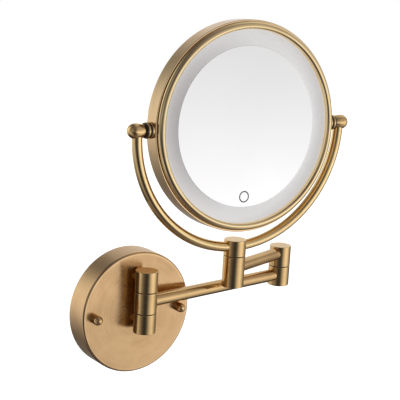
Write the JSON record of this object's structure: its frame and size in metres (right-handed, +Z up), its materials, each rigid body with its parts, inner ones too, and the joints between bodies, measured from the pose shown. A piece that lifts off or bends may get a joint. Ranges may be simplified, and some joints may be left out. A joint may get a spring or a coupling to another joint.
{
  "type": "extendable shaving mirror",
  "caption": "Wall-mounted round two-sided mirror with a lit frosted ring, held in a half-circle yoke on a folding two-part swing arm and a round wall plate.",
  "frame": {"origin": "centre of the wall bracket's back face, on the wall plane", "axes": "+X to the right along the wall, +Y into the wall, +Z up; the arm, yoke and mirror are stored folded as hung"},
  "size_m": [0.2855, 0.0657, 0.3422],
  "materials": {
    "antique_brass": "brushed antique brass, lacquered",
    "zinc_steel": "zinc plated",
    "washer_nylon": "dark nylon",
    "silvered_glass": "polished silvered glass",
    "frosted_acrylic": "frosted, translucent",
    "white_plastic": "satin moulded",
    "circuit_board": "white solder mask",
    "battery_foil": "foil pouch"
  },
  "bodies": {
    "base": {"wall_cover": "antique_brass", "wall_bracket": "zinc_steel", "bracket_studs": "zinc_steel", "dome_nuts": "antique_brass", "column_upper_knuckle": "antique_brass", "column_lower_knuckle": "antique_brass", "column_stubs": "antique_brass", "column_screws": "zinc_steel", "wall_pivot_pin": "zinc_steel", "wall_pivot_washers": "washer_nylon"},
    "lower_arm": {"lower_arm_knuckle": "antique_brass", "lower_arm_tube": "antique_brass", "elbow_lower_knuckle": "antique_brass", "elbow_washer": "washer_nylon"},
    "upper_arm": {"elbow_upper_knuckle": "antique_brass", "elbow_pin": "zinc_steel", "elbow_screw": "zinc_steel", "elbow_set_screw": "zinc_steel", "upper_arm_tube": "antique_brass", "head_lower_knuckle": "antique_brass", "head_washer": "washer_nylon"},
    "yoke": {"yoke_hub": "antique_brass", "hub_screw": "zinc_steel", "hub_set_screw": "zinc_steel", "yoke_tube": "antique_brass", "pivot_cap_left": "antique_brass", "pivot_cap_right": "antique_brass", "pivot_collars": "antique_brass", "pivot_friction_washers": "washer_nylon"},
    "mirror_head": {"mirror_case": "antique_brass", "pivot_bosses": "antique_brass", "trunnion_left": "zinc_steel", "trunnion_right": "zinc_steel", "front_bezel": "antique_brass", "rear_bezel": "antique_brass", "front_mirror": "silvered_glass", "light_diffuser": "frosted_acrylic", "rear_mirror": "silvered_glass", "inner_frame": "white_plastic", "led_board": "circuit_board", "touch_sensor": "circuit_board", "battery": "battery_foil", "driver_board": "circuit_board", "charge_socket": "zinc_steel"}
  },
  "joints": [
    {"name": "arm_swing", "type": "hinge", "parent": "base", "child": "lower_arm", "pos_m": [0, -0.0395, 0.0149], "axis": [0, 0, -1], "range_deg": [0, 194]},
    {"name": "elbow_swing", "type": "hinge", "parent": "lower_arm", "child": "upper_arm", "pos_m": [0.17979, -0.01742, 0.0248], "axis": [0, 0, 1], "range_deg": [0, 337]},
    {"name": "head_swivel", "type": "hinge", "parent": "upper_arm", "child": "yoke", "pos_m": [0.09905, -0.0443, 0.0511], "axis": [0, 0, 1], "continuous": true},
    {"name": "mirror_tilt", "type": "hinge", "parent": "yoke", "child": "mirror_head", "pos_m": [0.09905, -0.0443, 0.1798], "axis": [0.9984, -0.0563, 0], "continuous": true}
  ]
}
